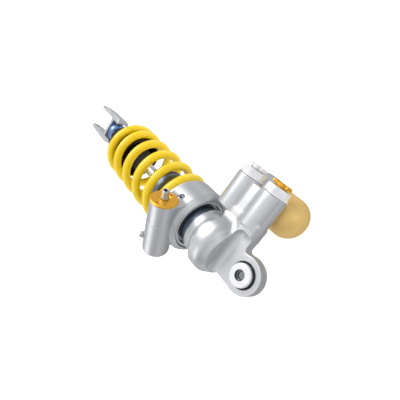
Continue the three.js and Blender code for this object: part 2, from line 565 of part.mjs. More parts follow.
const reservoir = new THREE.Group();
reservoir.position.set(0, RESERVOIR.y, RESERVOIR.z);
const dome = RESERVOIR.radius - 2;
const wall = RESERVOIR.radius - RESERVOIR.inside;
const gasPort = aimed([GAS_SCREW.along, 0, 0], [0, 0, -1]);
reservoir.add(piece('reservoir_tube', cut(
  turned([
    [RESERVOIR.start, 0],
    ...arc(RESERVOIR.start + dome, RESERVOIR.radius - dome, dome, 180, 90, 6),
    [RESERVOIR.end, RESERVOIR.radius], [RESERVOIR.end, RESERVOIR.inside],
    ...arc(RESERVOIR.start + dome, RESERVOIR.inside - dome + wall, dome - wall, 90, 180, 4),
    [RESERVOIR.start + wall, 0],
  ]),
  bar(RESERVOIR.inside - 3, RESERVOIR.radius + 2, GAS_SCREW.stem + GAP, SMALL, gasPort),
), 'gold'));
reservoir.add(piece('gas_fill_screw', cut(
  join(
    bar(RESERVOIR.inside - 1, RESERVOIR.radius + GAP + 0.1, GAS_SCREW.stem, SMALL, gasPort),
    collar(RESERVOIR.radius + GAP, RESERVOIR.radius + GAS_SCREW.head, 0, GAS_SCREW.radius, 0.5,
      SMALL, gasPort),
  ),
  hexagon(RESERVOIR.radius, RESERVOIR.radius + GAS_SCREW.head + 1, GAS_SCREW.socket, gasPort),
), 'steel'));
const separatorRadius = RESERVOIR.inside - GAP;
const separatorFloor = separatorRadius - SEPARATOR.depth;
reservoir.add(piece('separating_piston', turned([
  [SEPARATOR.floor, 0], [SEPARATOR.floor, SEPARATOR.dish - 2], [SEPARATOR.start, SEPARATOR.dish],
  [SEPARATOR.start, separatorRadius], [SEPARATOR.groove, separatorRadius],
  [SEPARATOR.groove, separatorFloor], [SEPARATOR.land, separatorFloor],
  [SEPARATOR.land, separatorRadius], [SEPARATOR.end, separatorRadius], [SEPARATOR.end, 0],
]), 'dark'));
reservoir.add(piece('separating_piston_seal', sleeve(
  SEPARATOR.groove + GAP, SEPARATOR.land - GAP, separatorFloor + GAP, separatorRadius), 'rubber'));
shock.add(reservoir);

export default shock;
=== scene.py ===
import json
import math
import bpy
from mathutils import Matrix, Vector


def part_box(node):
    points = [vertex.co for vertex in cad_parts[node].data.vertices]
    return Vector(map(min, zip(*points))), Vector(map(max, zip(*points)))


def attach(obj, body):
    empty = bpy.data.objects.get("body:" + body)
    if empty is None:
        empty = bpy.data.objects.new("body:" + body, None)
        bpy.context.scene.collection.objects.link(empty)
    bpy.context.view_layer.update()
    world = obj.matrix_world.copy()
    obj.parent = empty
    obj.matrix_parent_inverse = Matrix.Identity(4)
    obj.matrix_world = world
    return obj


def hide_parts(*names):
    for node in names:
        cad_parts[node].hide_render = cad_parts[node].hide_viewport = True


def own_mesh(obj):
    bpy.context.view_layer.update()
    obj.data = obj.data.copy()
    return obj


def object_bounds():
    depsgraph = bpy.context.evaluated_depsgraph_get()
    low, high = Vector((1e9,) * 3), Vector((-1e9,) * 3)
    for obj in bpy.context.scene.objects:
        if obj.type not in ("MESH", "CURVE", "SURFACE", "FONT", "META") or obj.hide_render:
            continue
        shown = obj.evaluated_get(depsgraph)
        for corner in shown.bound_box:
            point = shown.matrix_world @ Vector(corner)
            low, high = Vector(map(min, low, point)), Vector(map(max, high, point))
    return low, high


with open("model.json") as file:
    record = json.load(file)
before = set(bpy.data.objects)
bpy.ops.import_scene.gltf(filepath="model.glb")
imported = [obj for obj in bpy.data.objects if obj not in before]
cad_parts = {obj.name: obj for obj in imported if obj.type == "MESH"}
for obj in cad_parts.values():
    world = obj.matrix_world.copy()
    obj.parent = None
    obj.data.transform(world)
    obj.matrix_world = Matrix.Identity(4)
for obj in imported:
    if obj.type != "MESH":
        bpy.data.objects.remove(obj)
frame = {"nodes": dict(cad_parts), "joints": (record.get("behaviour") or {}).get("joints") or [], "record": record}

from types import SimpleNamespace as Sizes

import bpy
import numpy as np
from mathutils import Matrix, Vector

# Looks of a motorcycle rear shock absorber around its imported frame.
# Shapes are worked out in millimetres in the row frame, and turned into metres as they are made.

MM = 0.001
CAD_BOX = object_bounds()


# --- reading the frame ---

class Place:
    """Where a turned shape stands: it is made along +X, and `place` puts it on its axis."""

    def __init__(self, origin, along, side=(0, 0, 1)):
        self.origin = np.array(origin, float)
        x = np.array(along, float) / np.linalg.norm(along)
        y = np.array(side, float) - np.dot(side, x) * x
        y = y / np.linalg.norm(y)
        self.axes = np.array([x, y, np.cross(x, y)])

    def out(self, points):
        return np.asarray(points) @ self.axes + self.origin

    def into(self, points):
        return (np.asarray(points) - self.origin) @ self.axes.T

    def at(self, along, side=0.0, third=0.0):
        return self.out([along, side, third])

    def beside(self, side, third=0.0):
        """A place with the same direction, off to the side."""
        return Place(self.at(0, side, third), self.axes[0])


def corners(node):
    """Lowest and highest corner of a CAD node, in millimetres."""
    low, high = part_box(node)
    return np.array(low) / MM, np.array(high) / MM


def centre(node):
    low, high = corners(node)
    return (low + high) / 2


def points_of(node, place):
    """A CAD node's mesh points, as a place sees them."""
    return place.into(np.array([v.co for v in frame["nodes"][node].data.vertices], float) / MM)


def extent(node, place):
    """How far a CAD node reaches along a place's axis."""
    along = points_of(node, place)[:, 0]
    return along.min(), along.max()


JOINTS = {joint["name"]: joint for joint in frame["joints"]}


SHOCK = Place((0, 0, 0), (1, 0, 0), (0, 1, 0))
EYE = Place((0, 0, 0), (0, 0, 1), (1, 0, 0))
RESERVOIR = Place((0, *centre("reservoir_tube")[1:]), (1, 0, 0))
VALVES = {
    "compression": Place((centre("compression_cap")[0], 0, 0), (0, -1, 0)),
    "rebound": Place((centre("rebound_cap")[0], 0, 0), (0, -1, 0)),
}
COMPRESSION_X, REBOUND_X = (place.origin[0] for place in VALVES.values())
SCREW_JOINT = JOINTS["preload_screw_turn"]
SCREW_AXIS = Place(np.array(SCREW_JOINT["pos_m"]) / MM, SCREW_JOINT["axis"])
ADJUSTER_DISTANCE = 42.0
ADJUSTER_OUT = np.cross(SCREW_AXIS.axes[0], (1, 0, 0))
ADJUSTER = Place(
    (SCREW_AXIS.origin[0], *(ADJUSTER_OUT * ADJUSTER_DISTANCE)[1:]),
    SCREW_AXIS.axes[0], -ADJUSTER_OUT)
BLEED_ALONG = ADJUSTER.into(centre("bleed_washer"))[0]
BLEED = Place(ADJUSTER.at(BLEED_ALONG), centre("bleed_washer") - ADJUSTER.at(BLEED_ALONG), ADJUSTER.axes[0])
SET_SCREW = ADJUSTER.beside(ADJUSTER.into(centre("preload_set_screw"))[1])
GAS_PORT = Place((centre("gas_fill_screw")[0], *RESERVOIR.origin[1:]), (0, 0, -1), (1, 0, 0))


# --- outlines of turned pieces ---

SEGMENTS = 96
FLAT_TURN = 35        # degrees: a bend in a CAD outline below this is a stretch of a curve
CURVE_STEPS = 5


def cad_outlines(node, place):
    """The half sections of a turned CAD node, each a closed list of (along, radius) corners.
    The node's mesh is sliced by a half plane that lies a hair off a row of its corners."""
    points = points_of(node, place)
    radius = np.hypot(points[:, 1], points[:, 2])
    widest = points[np.argmax(radius)]
    angle = math.atan2(widest[2], widest[1]) + 2e-4
    radial = points[:, 1] * math.cos(angle) + points[:, 2] * math.sin(angle)
    off = points[:, 2] * math.cos(angle) - points[:, 1] * math.sin(angle) + 1e-5
    mesh = frame["nodes"][node].data
    mesh.calc_loop_triangles()
    links = {}
    for triangle in mesh.loop_triangles:
        ends = []
        for i in range(3):
            a, b = triangle.vertices[i], triangle.vertices[(i + 1) % 3]
            if (off[a] < 0) != (off[b] < 0):
                t = off[a] / (off[a] - off[b])
                ends.append((points[a, 0] + t * (points[b, 0] - points[a, 0]),
                             radial[a] + t * (radial[b] - radial[a])))
        if len(ends) == 2 and max(ends[0][1], ends[1][1]) > 0:
            clipped = [clip_to_axis(ends[0], ends[1]), clip_to_axis(ends[1], ends[0])]
            keys = [tuple(round(c, 3) for c in e) for e in clipped]
            if keys[0] != keys[1]:
                links.setdefault(keys[0], set()).add(keys[1])
                links.setdefault(keys[1], set()).add(keys[0])
    return [straightened(loop) for loop in chains(links)]


def clip_to_axis(point, other):
    if point[1] >= 0:
        return point
    t = point[1] / (point[1] - other[1])
    return (point[0] + t * (other[0] - point[0]), 0.0)


def chains(links):
    """Follows the links from point to point. A chain that starts on the axis ends on it."""
    left = dict(links)
    found = []
    while left:
        ends = sorted(p for p in left if len(links[p]) == 1)
        current = ends[0] if ends else sorted(left)[0]
        chain = []
        while current in left:
            chain.append(current)
            onward = [p for p in sorted(left.pop(current)) if p in left]
            current = onward[0] if onward else None
        found.append(chain)
    return found


def straightened(loop, slack=0.004):
    """Drops the points that lie on a straight line between their neighbours."""
    points = [np.array(p) for i, p in enumerate(loop) if math.dist(p, loop[i - 1]) > 0.01]
    kept = []
    for i, point in enumerate(points):
        before = kept[-1] if kept else points[i - 1]
        after = points[(i + 1) % len(points)]
        span = after - before
        length = np.linalg.norm(span)
        aside = abs(span[0] * (point - before)[1] - span[1] * (point - before)[0])
        if length < 1e-9 or aside > slack * length:
            kept.append(point)
    return [tuple(p) for p in kept]


def softened(outline, edge):
    """Rounds an outline's corners: sharp ones by `edge`, and slight bends into a full curve.
    A point may carry its own edge as its third value and its section shape as its fourth."""
    made = []
    count = len(outline)
    for i, point in enumerate(outline):
        here = np.array(point[:2], float)
        own = point[2] if len(point) > 2 and point[2] is not None else edge
        shape = point[3] if len(point) > 3 else None
        back = np.array(outline[i - 1][:2], float) - here
        ahead = np.array(outline[(i + 1) % count][:2], float) - here
        reach = min(np.linalg.norm(back), np.linalg.norm(ahead))
        back, ahead = back / np.linalg.norm(back), ahead / np.linalg.norm(ahead)
        bend = math.degrees(math.acos(np.clip(np.dot(-back, ahead), -1, 1)))
        if here[1] < 1e-3 or bend < 0.3 or own == 0:
            made.append((here[0], max(here[1], 0.0), shape))
            continue
        cut = reach / 2 if bend < FLAT_TURN else min(own * math.tan(math.radians(bend) / 2), reach * 0.48)
        start, end = here + back * cut, here + ahead * cut
        for k in range(CURVE_STEPS + 1):
            t = k / CURVE_STEPS
            p = (1 - t) ** 2 * start + 2 * t * (1 - t) * here + t ** 2 * end
            made.append((p[0], p[1], shape))
    return made


# Section shapes: the radius of a turned outline's point at each angle.

def hexagon(across, turn=0.0):
    """A hexagon of the given width across its flats, cut off at the outline's own radius."""
    def shape(radius, angle):
        turned = np.mod(angle + math.radians(turn) + math.pi / 6, math.pi / 3) - math.pi / 6
        return np.minimum(radius, across / 2 / np.cos(turned))
    return shape


def fluted(count, depth):
    """Round finger flutes cut into a knob's rim."""
    def shape(radius, angle):
        wave = np.cos(count * angle)
        return radius - depth * np.clip(wave, 0, 1) ** 0.8
    return shape


# --- meshes ---

def put_in_scene(name, data):
    made = bpy.data.objects.new(name, data)
    bpy.context.scene.collection.objects.link(made)
    return made


def new_object(name, vertices, faces, smooth_angle=40):
    """A mesh object from points in millimetres, smooth but for its sharp edges."""
    mesh = bpy.data.meshes.new(name)
    mesh.from_pydata((np.asarray(vertices, float) * MM).tolist(), [], faces)
    mesh.validate()
    mesh.update()
    mesh.shade_smooth()
    if smooth_angle:
        mesh.set_sharp_from_angle(angle=math.radians(smooth_angle))
    return put_in_scene(name, mesh)


def swept_faces(count, sides):
    """The faces of a closed tube through `count` rings of points."""
    faces = []
    for i in range(count - 1):
        for k in range(sides):
            n = (k + 1) % sides
            a, b = i * sides, (i + 1) * sides
            faces.append([a + k, a + n, b + n, b + k])
    faces.append(list(range(sides))[::-1])
    faces.append([(count - 1) * sides + k for k in range(sides)])
    return faces


def mark(piece, name, values):
    """Gives each point of a piece a number, or three, for its material to read."""
    values = np.array(values, np.float32)
    kind, field = ("FLOAT", "value") if values.ndim == 1 else ("FLOAT_VECTOR", "vector")
    attribute = piece.data.attributes.new(name, kind, "POINT")
    attribute.data.foreach_set(field, values.ravel())


def lathe(name, outlines, place, segments=SEGMENTS, smooth_angle=40, hollow=None):
    """Turns closed outlines of (along, radius, section shape) about a place's axis.
    Where an (along, radius) pair is given for shaded holes, the points below both its values are marked to take
    painted shade inside a hole."""
    angles = np.arange(segments) * 2 * math.pi / segments
    vertices = []
    faces = []
    marks = []
    for outline in outlines:
        area = sum(a[0] * b[1] - b[0] * a[1] for a, b in zip(outline, outline[1:] + outline[:1]))
        ordered = outline if area < 0 else outline[::-1]
        rings = []
        length = 0.0
        for i, (along, radius, shape) in enumerate(ordered):
            if i:
                length += math.dist(ordered[i][:2], ordered[i - 1][:2])
            start = len(vertices)
            if radius < 1e-3:
                vertices.append(place.at(along))
                marks.append((length, 0.0, along))
                rings.append([start] * segments)
                continue
            radii = shape(radius, angles) if shape else np.full(segments, radius)
            ring = np.stack([np.full(segments, along), radii * np.cos(angles), radii * np.sin(angles)], 1)
            vertices.extend(place.out(ring))
            marks.extend((length, radius, along) for _ in range(segments))
            rings.append(list(range(start, start + segments)))
        for i, ring in enumerate(rings):
            after = rings[(i + 1) % len(rings)]
            if ring[0] == ring[1] and after[0] == after[1]:
                continue
            for k in range(segments):
                n = (k + 1) % segments
                corner = [ring[k], ring[n], after[n], after[k]]
                faces.append(list(dict.fromkeys(corner)))
    made = new_object(name, vertices, faces, smooth_angle)
    mark(made, "profile", [m[0] for m in marks])
    if hollow:
        mark(made, "hollow", [float(along <= hollow[0] and radius <= hollow[1])
                              for _, radius, along in marks])
    return made


def turned(name, outline, place, edge=0.3, **options):
    return lathe(name, [softened(outline, edge)], place, **options)


def returned(node, place, edge=0.3, **options):
    """A CAD node that is turned all round, made again as a smooth piece."""
    return lathe(f"{node}_fine", [softened(o, edge) for o in cad_outlines(node, place)], place, **options)


ANYWHERE = (math.inf, math.inf)


def combine(piece, operation, *tools):
    """Cuts other objects out of a piece, or joins them to it, and removes them."""
    for tool in tools:
        modifier = piece.modifiers.new("combine", "BOOLEAN")
        modifier.operation = operation
        modifier.solver = "EXACT"
        modifier.object = tool
        bpy.context.view_layer.update()
        evaluated = piece.evaluated_get(bpy.context.evaluated_depsgraph_get())
        mesh = bpy.data.meshes.new_from_object(evaluated)
        piece.modifiers.clear()
        piece.data = mesh
        bpy.data.objects.remove(tool)
    piece.data.shade_smooth()
    piece.data.set_sharp_from_angle(angle=math.radians(40))
    return piece


# --- cast and milled bodies, as distance fields ---

def round_join(a, b, radius):
    """The union of two distances, with a fillet."""
    u, v = np.maximum(radius - a, 0), np.maximum(radius - b, 0)
    return np.maximum(radius, np.minimum(a, b)) - np.hypot(u, v)


def round_meet(a, b, radius):
    """The intersection of two distances, with a rounded edge."""
    u, v = np.maximum(radius + a, 0), np.maximum(radius + b, 0)
    return np.minimum(-radius, np.maximum(a, b)) + np.hypot(u, v)


def round_cut(a, b, radius):
    return round_meet(a, -b, radius)


def slab(values, low, high):
    return np.abs(values - (low + high) / 2) - (high - low) / 2


def bar_field(points, place, radius, start, end, edge):
    local = place.into(points)
    return round_meet(np.hypot(local[..., 1], local[..., 2]) - radius, slab(local[..., 0], start, end), edge)


def box_field(points, place, low, high, edge):
    local = place.into(points)
    sides = [slab(local[..., i], low[i], high[i]) for i in range(3)]
    return round_meet(round_meet(sides[0], sides[1], edge), sides[2], edge)


def outline_field(u, v, outline):
    """Distance to a closed outline in a plane, negative inside it."""
    nearest = np.full(u.shape, 1e9)
    inside = np.zeros(u.shape, bool)
    for (x0, y0), (x1, y1) in zip(outline, outline[1:] + outline[:1]):
        dx, dy = x1 - x0, y1 - y0
        if dx * dx + dy * dy < 1e-9:
            continue
        t = np.clip(((u - x0) * dx + (v - y0) * dy) / (dx * dx + dy * dy), 0, 1)
        nearest = np.minimum(nearest, (u - x0 - t * dx) ** 2 + (v - y0 - t * dy) ** 2)
        if y0 != y1:
            crosses = ((y0 <= v) != (y1 <= v)) & (u < x0 + (v - y0) * dx / dy)
            inside ^= crosses
    distance = np.sqrt(nearest)
    return np.where(inside, -distance, distance)


def turned_field(points, place, outline, edge=0.0):
    """A turned outline's distance. Its outer corners are rounded by `edge`."""
    local = place.into(points)
    return outline_field(local[..., 0], np.hypot(local[..., 1], local[..., 2]), outline) - edge


def arc(x, y, radius, start, end, steps):
    """Points of an arc, in degrees."""
    angles = np.radians(np.linspace(start, end, steps + 1))
    return [(x + radius * math.cos(a), y + radius * math.sin(a)) for a in angles]


CELL_CORNERS = [(i, j, k) for i in (0, 1) for j in (0, 1) for k in (0, 1)]
CELL_EDGES = [(a, b) for a in range(8) for b in range(a + 1, 8)
              if sum(abs(p - q) for p, q in zip(CELL_CORNERS[a], CELL_CORNERS[b])) == 1]


def surface_net(values, low, step):
    """Points and quads of the surface where a grid of distances passes through nothing."""
    shape = tuple(n - 1 for n in values.shape)
    corner = [values[i:i + shape[0], j:j + shape[1], k:k + shape[2]] for i, j, k in CELL_CORNERS]
    count = sum((c < 0).astype(np.int8) for c in corner)
    cells = np.argwhere((count > 0) & (count < 8))
    number = np.full(shape, -1, np.int64)
    number[tuple(cells.T)] = np.arange(len(cells))
    near = np.stack([c[tuple(cells.T)] for c in corner], 1)
    total = np.zeros((len(cells), 3))
    crossings = np.zeros(len(cells))
    for a, b in CELL_EDGES:
        crossed = (near[:, a] < 0) != (near[:, b] < 0)
        t = np.where(crossed, near[:, a] / np.where(crossed, near[:, a] - near[:, b], 1), 0)
        place = np.array(CELL_CORNERS[a]) + t[:, None] * (np.array(CELL_CORNERS[b]) - CELL_CORNERS[a])
        total += np.where(crossed[:, None], place, 0)
        crossings += crossed
    points = low + (cells + total / crossings[:, None]) * step
    quads = []
    for axis in range(3):
        first, second = [a for a in range(3) if a != axis]
        inner = [slice(1, n - 1) for n in values.shape]
        inner[axis] = slice(0, values.shape[axis] - 1)
        ahead = list(inner)
        ahead[axis] = slice(1, values.shape[axis])
        here, there = values[tuple(inner)] < 0, values[tuple(ahead)] < 0
        spots = np.argwhere(here != there)
        outward = here[tuple(spots.T)]
        offset = np.ones(3, int)
        offset[axis] = 0
        spots = spots + offset
        ring = []
        for i, j in ((-1, -1), (0, -1), (0, 0), (-1, 0)):
            cell = spots.copy()
            cell[:, first] += i
            cell[:, second] += j
            ring.append(number[tuple(cell.T)])
        ring = np.stack(ring, 1)
        flip = outward if axis == 1 else ~outward
        ring[flip] = ring[flip][:, ::-1]
        quads.append(ring)
    return points, np.concatenate(quads)


def slope(field, points, reach=0.05):
    """Which way a distance grows, as unit vectors."""
    found = np.stack([field(points + np.eye(3)[i] * reach) - field(points - np.eye(3)[i] * reach)
                      for i in range(3)], 1)
    length = np.linalg.norm(found, axis=1, keepdims=True)
    return found / np.maximum(length, 1e-9), length[:, 0] / (2 * reach)


def neighbour_mean(points, quads):
    total = np.zeros_like(points)
    count = np.zeros(len(points))
    for a, b in ((0, 1), (1, 2), (2, 3), (3, 0)):
        for here, there in ((a, b), (b, a)):
            np.add.at(total, quads[:, here], points[quads[:, there]])
            np.add.at(count, quads[:, here], 1)
    return total / count[:, None]


def settle(field, points, steps):
    for _ in range(steps):
        away, steep = slope(field, points)
        move = np.clip(field(points) / np.maximum(steep, 0.3), -0.4, 0.4)
        points = points - away * move[:, None]
    return points


def carved(name, field, low, high, step):
    """A closed mesh of a distance field inside a box, with normals taken from the field."""
    low, high = np.array(low, float) - 2 * step, np.array(high, float) + 2 * step
    counts = np.ceil((high - low) / step).astype(int) + 1
    axes = [low[i] + np.arange(counts[i]) * step for i in range(3)]
    values = np.empty(tuple(counts), np.float32)
    for i, x in enumerate(axes[0]):
        layer = np.stack(np.meshgrid([x], axes[1], axes[2], indexing="ij"), -1)
        values[i] = field(layer)[0]
    points, quads = surface_net(values, low, step)
    points = settle(field, points, 2)
    for _ in range(3):
        points = settle(field, points * 0.4 + neighbour_mean(points, quads) * 0.6, 1)
    points = settle(field, points, 2)
    made = new_object(name, points, quads.tolist(), smooth_angle=None)
    normals, _ = slope(field, points, 0.12)
    made.data.normals_split_custom_set_from_vertices(normals.tolist())
    return made


# --- sizes of the castings, in millimetres ---

GAP = 0.3
EYE_RADIUS = -corners("head_casting")[0][0]
EYE_HALF = corners("circlip_front")[1][2] + GAP
EYE_BORE = corners("bearing_race")[1][0] + GAP
TUBE_RADIUS = corners("damper_tube")[1][1]
TUBE_START = corners("damper_tube")[0][0]
BARREL = Sizes(end=52.6, radius=32.6, round=12, land=8.0, face=30.6, rim=25.2,
          tip=20, tip_radius=12)
SADDLE = Sizes(low=(14.5, -45, -10.5), high=(58, -15, 10.5), column=12.8)
SCOOP = Sizes(wall=-33.5, face=31, round=8)
LUG = Sizes(front=18.6, back=19.2, end=34, foot=-30, bend=(10, -26), round=8)
NECK = Sizes(start=60, end=70, radius=27.1, groove=24.6)
BLOCK = Sizes(radius=14.6, foot=37.5, deep=20, top=-corners("compression_cartridge")[0][1],
         bore=10.3, floor=44, web=9)
BOSS = Sizes(start=50, end=72, radius=25.4)
RESERVOIR_RADIUS = corners("reservoir_tube")[1][1] - RESERVOIR.origin[1]
RESERVOIR_END = corners("reservoir_tube")[1][0]
RESERVOIR_INSIDE = 19.0

COLLAR = Sizes(start=77, end=109.8, radius=38.6, lip=34.5, mouth=31.5, bore=24.8, hub=26.3,
               step=90, recess=30.9, hub_end=104.9)
SEAT = Sizes(flange=4.4, play=3.3)
HOUSING_EDGE = 0.25
BRIDGE = Sizes(low=(-16, 0, -13), reach=26, front=12.5)
CYLINDER = Sizes(radius=15, foot=-37.4, top=31, bore=9.7, seam=6.5)
FORK_SIDE = Sizes(start=309, corner=9, pocket=326, floor=332, pin=371, end=381, half=10, bolt=5.2)
THREAD_BORE = 6.3
FORK_WIDTH = Sizes(base=21.5, waist=20.9, tip=18.2, gap=15.2, pocket=17)


# --- castings ---

def head_field(p):
    """The head: eye and lug, barrel, two valve cylinders and the reservoir's boss."""
    x, y, z = p[..., 0], p[..., 1], p[..., 2]
    shoulder = BARREL.end - BARREL.land
    barrel = turned_field(p, SHOCK, [
        (BARREL.tip, -1), (BARREL.tip, BARREL.tip_radius), (BARREL.face, BARREL.rim),
        *arc(shoulder, BARREL.radius - BARREL.round, BARREL.round, 138, 90, 8),
        (BARREL.end, BARREL.radius), (BARREL.end + 3.2, NECK.groove),
        (NECK.start, NECK.groove), (NECK.start + 1.6, NECK.radius),
        (NECK.end - 0.7, NECK.radius), (NECK.end, NECK.radius - 0.7), (NECK.end, -1)])
    eye = bar_field(p, EYE, EYE_RADIUS, -EYE_HALF, EYE_HALF, 0.8)
    lug_outline = [(0, LUG.front), (LUG.end, LUG.front), (LUG.end, LUG.foot), (14.5, LUG.foot),
                   *arc(*LUG.bend, LUG.round, 40, 100, 6), (0, -LUG.back)]
    lug = round_meet(outline_field(x, y, lug_outline), np.abs(z) - EYE_HALF, 0.8)
    saddle = box_field(p, SHOCK, SADDLE.low, SADDLE.high, 3.0)
    column = bar_field(p, VALVES["rebound"], SADDLE.column, BLOCK.deep, BLOCK.foot + 8, 1.0)
    body = round_join(barrel, round_join(saddle, column, 4.0), 6.0)
    body = round_join(body, round_join(eye, lug, 1.5), 3.0)
    both_sides = np.stack([x, y, np.abs(z)], -1)
    scoop = box_field(both_sides, SHOCK, (-40, SCOOP.wall, EYE_HALF), (SCOOP.face, 60, 60),
                      SCOOP.round)
    body = round_cut(body, scoop, 0.35)
    cylinders = [bar_field(p, place, BLOCK.radius, BLOCK.foot, BLOCK.top, 0.8)
                 for place in VALVES.values()]
    web = box_field(p, SHOCK, (REBOUND_X, -(BLOCK.top - 2), -BLOCK.web),
                    (COMPRESSION_X, -BLOCK.foot, BLOCK.web), 1.0)
    block = round_join(round_join(cylinders[0], web, 1.5), cylinders[1], 1.5)
    boss = bar_field(p, RESERVOIR, BOSS.radius, BOSS.start, BOSS.end, 4.5)
    reservoir_web = box_field(p, SHOCK, (BOSS.start + 2, -(BLOCK.top - 3), RESERVOIR.origin[2]),
                              (BOSS.end - 2, -50, 0), 1.5)
    block = round_join(block, round_join(boss, reservoir_web, 4.0), 4.0)
    body = round_join(body, block, 1.6)
    return head_bores(p, body)


OILWAY_RADIUS = 3.2
OILWAYS = [    # each oilway's start, direction and length
    ((45, 0, 0), (-0.2, -1, 0), 45),
    ((61, -52, 0), (0, -0.3, -1), 38),
    ((REBOUND_X, -48, 0), (1, 0, 0), 34),
]


def head_bores(p, body):
    """Bores the eye, the damper tube's seat, the reservoir's seat, the valves and the oilways."""
    bores = [
        (bar_field(p, EYE, EYE_BORE, -EYE_HALF - 5, EYE_HALF + 5, 0.1), 0.6),
        (bar_field(p, SHOCK, TUBE_RADIUS + GAP, TUBE_START - GAP, NECK.end + 5, 0.5), 0.5),
        (bar_field(p, SHOCK, 9, 38, TUBE_START + 2, 0.5), 0.5),
        (bar_field(p, RESERVOIR, RESERVOIR_RADIUS + GAP, BOSS.start - 5, RESERVOIR_END + GAP, 0.5), 0.6),
        (bar_field(p, RESERVOIR, RESERVOIR_INSIDE, RESERVOIR_END - 1, RESERVOIR_END + 6, 1.0), 0.5),
    ]
    bores += [(bar_field(p, Place(start, along), OILWAY_RADIUS, 0, length, 0.5), 0.3)
              for start, along, length in OILWAYS]
    bores += [(bar_field(p, place, BLOCK.bore, BLOCK.floor, BLOCK.top + 5, 1.0), 0.6)
              for place in VALVES.values()]
    for bore, edge in bores:
        body = round_cut(body, bore, edge)
    return body


def housing_field(p):
    """The preload housing: a collar round the spring's end and a hydraulic cylinder beside it."""
    start, end, radius = COLLAR.start, COLLAR.end, COLLAR.radius
    ring = turned_field(p, SHOCK, [
        (start + HOUSING_EDGE, -1), (start + HOUSING_EDGE, COLLAR.lip - 1.4), (start + 3.6, radius - 1.6),
        (start + 4.4, radius - 1.6), (start + 5.6, radius - HOUSING_EDGE), (end - 0.6, radius - HOUSING_EDGE),
        (end - HOUSING_EDGE, radius - 0.6), (end - HOUSING_EDGE, -1)], HOUSING_EDGE)
    cylinder = turned_field(p, ADJUSTER, [
        (CYLINDER.foot, -1), (CYLINDER.foot, CYLINDER.radius - 6),
        *arc(CYLINDER.foot + 6, CYLINDER.radius - 6, 6, 180, 90, 8),
        (CYLINDER.seam - 0.5, CYLINDER.radius), (CYLINDER.seam, CYLINDER.radius - 0.4),
        (CYLINDER.top - 0.5, CYLINDER.radius - 0.4), (CYLINDER.top, CYLINDER.radius - 0.9),
        (CYLINDER.top, -1)])
    bridge = box_field(p, ADJUSTER, BRIDGE.low, (CYLINDER.top, BRIDGE.reach, BRIDGE.front), 1.0)
    body = round_join(round_join(ring, cylinder, 1.5), bridge, 1.5)
    seat_end, seat_radius = corners("spring_seat")[1][:2]
    flange = seat_end - SEAT.flange - SEAT.play
    core = turned_field(p, SHOCK, [
        (start - 5, -1), (start - 5, COLLAR.mouth), (start + 7, COLLAR.mouth), (start + 7, COLLAR.bore),
        (COLLAR.step, COLLAR.bore), (COLLAR.step, COLLAR.recess), (flange, COLLAR.recess),
        (flange, seat_radius + GAP), (end - 1.4, seat_radius + GAP), (end + 0.2, seat_radius + 1.5),
        (end + 10, seat_radius + 1.5), (end + 10, -1)])
    hub_start = COLLAR.step - 1
    hub = turned_field(p, SHOCK, [
        (hub_start, COLLAR.bore), (COLLAR.hub_end, COLLAR.bore), (COLLAR.hub_end, COLLAR.hub),
        (hub_start, COLLAR.hub)])
    body = np.minimum(round_cut(body, core, HOUSING_EDGE), hub)
    for bore in (bar_field(p, ADJUSTER, CYLINDER.bore, CYLINDER.foot + 6, CYLINDER.top + 5, 0.5),
                 bar_field(p, BLEED, 2.3, CYLINDER.radius - 8, CYLINDER.radius + 5, 0.3),
                 bar_field(p, SET_SCREW, 3.7, CYLINDER.top - 3, CYLINDER.top + 5, 0.3)):
        body = round_cut(body, bore, 0.4)
    return body


def clevis_field(p):
    """The lower fork, with a threaded pocket behind its floor."""
    x, y, z = p[..., 0], p[..., 1], p[..., 2]
    side, width = FORK_SIDE, FORK_WIDTH
    half = [
        *arc(side.start + side.corner, width.base - side.corner, side.corner, 180, 90, 8),
        (side.floor, width.base), (side.pin - side.half, width.waist), (side.end - 4, width.waist - 1.2),
        (side.end, width.tip), (side.end, width.gap), (side.floor + 2, width.gap),
        (side.floor, width.gap - 2)]
    front = outline_field(x, y, half + [(u, -v) for u, v in reversed(half)])
    ear = outline_field(x, z, [(side.start - 5, side.half), (side.start - 5, -side.half),
                               *arc(side.pin, 0, side.end - side.pin, -90, 90, 24)])
    body = round_meet(front, ear, 1.0)
    pocket = bar_field(p, SHOCK, width.pocket, side.start - 5, side.pocket, 0.8)
    thread = bar_field(p, SHOCK, THREAD_BORE, side.pocket - 2, side.floor + 5, 0.2)
    bolt = bar_field(p, Place((side.pin, 0, 0), (0, 1, 0)), side.bolt, -40, 40, 0.1)
    for bore, edge in ((pocket, 0.5), (thread, 0.5), (bolt, 0.6)):
        body = round_cut(body, bore, edge)
    return body


def casting(node, field, step):
    """A casting's mesh, with cells `step` millimetres wide."""
    low, high = corners(node)
    return carved(f"{node}_fine", field, low, high, step)


# --- coil spring ---

SPRING = Sizes(radius=34.25, wire=5.27, start=118.9, end=256.0, pitch=28.76, phase=130)
SPRING_TURNS = Sizes(near=0.6, far=0.75, closed=11.0)
SPRING_SIDES = 28
SPRING_STEPS_PER_TURN = 96
MARKS = Sizes(start=0.895, end=1.1, side=0.945, width=0.022, count=12.0, share=0.62)


